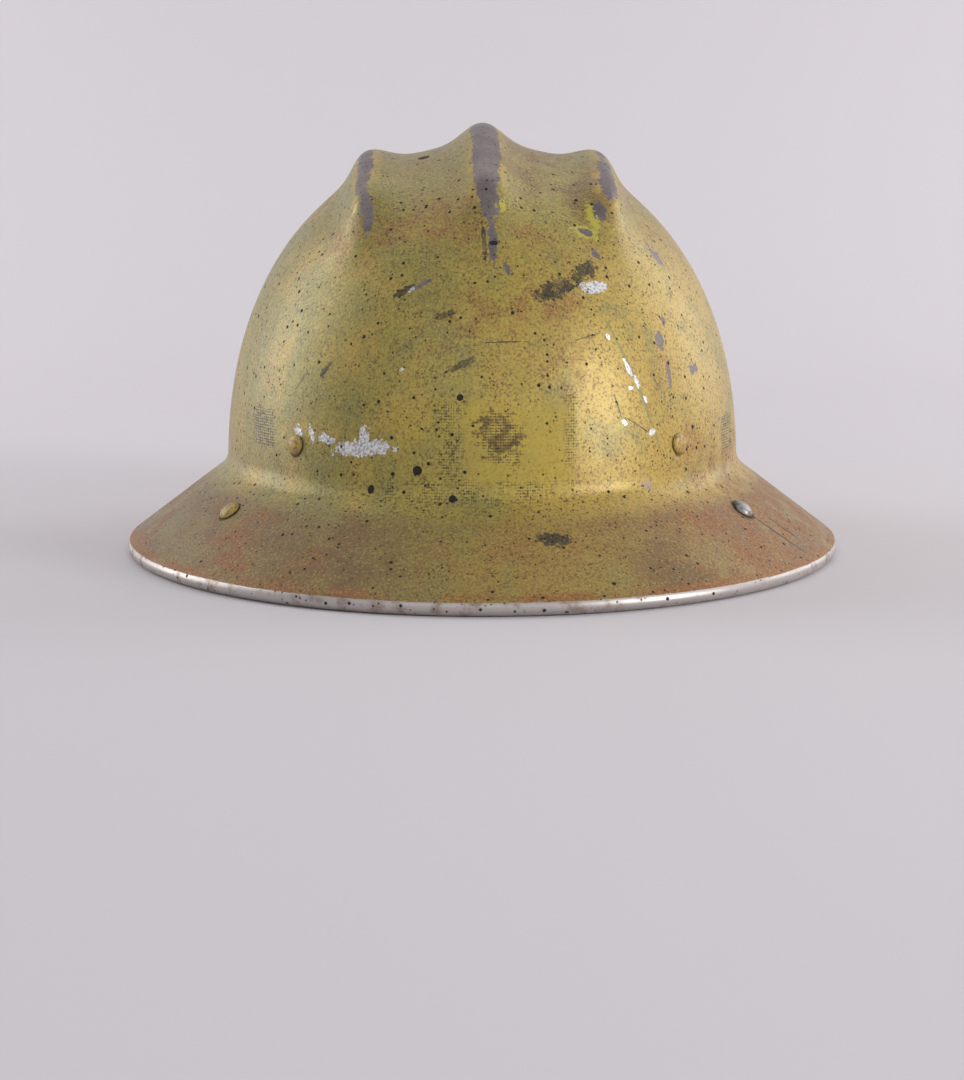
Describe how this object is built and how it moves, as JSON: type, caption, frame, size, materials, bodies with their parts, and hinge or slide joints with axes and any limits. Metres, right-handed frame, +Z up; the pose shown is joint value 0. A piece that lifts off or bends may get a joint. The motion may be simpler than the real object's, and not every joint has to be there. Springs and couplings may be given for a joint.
{
  "type": "full-brim hard hat",
  "caption": "Full-brim aluminium hard hat with drawn ridges and a rolled edge, a webbing and headband suspension that slides to size, and hinged wire loops for a chin strap.",
  "frame": {"origin": "middle of the plane that the rolled brim edge rests on", "axes": "+Z up through the crown, -Y the wearer's front, +X the wearer's left"},
  "size_m": [0.28, 0.3108, 0.1648],
  "materials": {
    "shell_paint": "aluminium sheet under worn and stained yellow paint, bare on the ridges and the rolled edge",
    "crown_rivet_paint": "aluminium painted over with the shell",
    "bare_aluminium": "dull bare aluminium",
    "plated_steel": "dull plated steel strip",
    "steel_wire": "bent steel wire",
    "crown_webbing": "flat woven cotton webbing",
    "tab_webbing": "flat woven cotton webbing",
    "brass": "tarnished brass",
    "headband_fibre": "dark brown pressed fibre",
    "sweatband_leather": "thin brown leather",
    "pad_leather": "soft brown leather"
  },
  "bodies": {
    "shell_assembly": {"shell": "shell_paint", "crown_rivet_front_left": "crown_rivet_paint", "crown_rivet_front_right": "crown_rivet_paint", "crown_rivet_rear_left": "crown_rivet_paint", "crown_rivet_rear_right": "crown_rivet_paint", "brim_rivet_left": "bare_aluminium", "brim_rivet_right": "bare_aluminium", "strap_hanger_front_left": "plated_steel", "strap_hanger_front_right": "plated_steel", "strap_hanger_rear_left": "plated_steel", "strap_hanger_rear_right": "plated_steel", "chin_loop_bracket_left": "plated_steel", "chin_loop_bracket_right": "plated_steel", "size_keeper_left": "plated_steel", "size_keeper_right": "plated_steel", "crown_strap_a": "crown_webbing", "crown_strap_b": "crown_webbing", "headband_tab_front_left": "tab_webbing", "headband_tab_front_right": "tab_webbing", "headband_tab_rear_left": "tab_webbing", "headband_tab_rear_right": "tab_webbing", "tab_rivet_front_left": "brass", "tab_rivet_front_right": "brass", "size_stud_left": "brass", "size_stud_right": "brass", "headband": "headband_fibre", "sweatband": "sweatband_leather", "crown_pad": "pad_leather"},
    "nape_assembly": {"nape_band": "headband_fibre", "nape_pad": "pad_leather", "tab_rivet_rear_left": "brass", "tab_rivet_rear_right": "brass"},
    "chin_loop_left": {"chin_loop_left": "steel_wire"},
    "chin_loop_right": {"chin_loop_right": "steel_wire"}
  },
  "joints": [
    {"name": "headband_size_slide", "type": "slide", "parent": "shell_assembly", "child": "nape_assembly", "axis": [0, 1, 0], "range_m": [-0.01, 0.004], "deforming": ["headband_tab_rear_left", "headband_tab_rear_right"]},
    {"name": "chin_loop_left_hinge", "type": "hinge", "parent": "shell_assembly", "child": "chin_loop_left", "pos_m": [0.08529, -0.06974, 0.02538], "axis": [-0.5281, -0.8492, 0], "range_deg": [-30, 45]},
    {"name": "chin_loop_right_hinge", "type": "hinge", "parent": "shell_assembly", "child": "chin_loop_right", "pos_m": [-0.08529, -0.06974, 0.02538], "axis": [-0.5281, 0.8492, 0], "range_deg": [-30, 45]}
  ]
}
